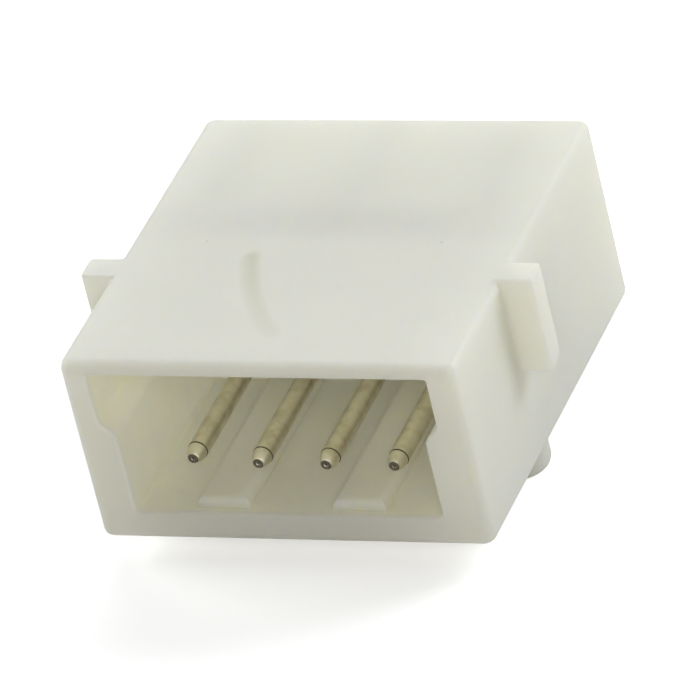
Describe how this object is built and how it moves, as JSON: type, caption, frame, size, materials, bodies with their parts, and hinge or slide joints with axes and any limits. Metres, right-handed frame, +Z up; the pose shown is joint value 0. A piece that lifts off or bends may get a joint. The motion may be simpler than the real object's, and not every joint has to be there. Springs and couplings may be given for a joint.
{
  "type": "wire to board connector housing",
  "caption": "White moulded pin housing of a cable connector, with round crimp pins in a keyed open mouth, side ears and locating pegs.",
  "frame": {"origin": "under the middle of the housing, level with the ends of its pegs", "axes": "+X along the row of contacts, +Y from the mouth to the wire entries, +Z up from the pegs to the roof"},
  "size_m": [0.03, 0.0278, 0.0148],
  "materials": {
    "natural_nylon": "natural white moulded nylon, slightly translucent, fine satin surface",
    "tinned_brass": "rolled brass strip with a thin dull tin plating"
  },
  "bodies": {
    "root": {"housing": "natural_nylon", "contact_1": "tinned_brass", "contact_2": "tinned_brass", "contact_3": "tinned_brass", "contact_4": "tinned_brass"}
  },
  "joints": []
}
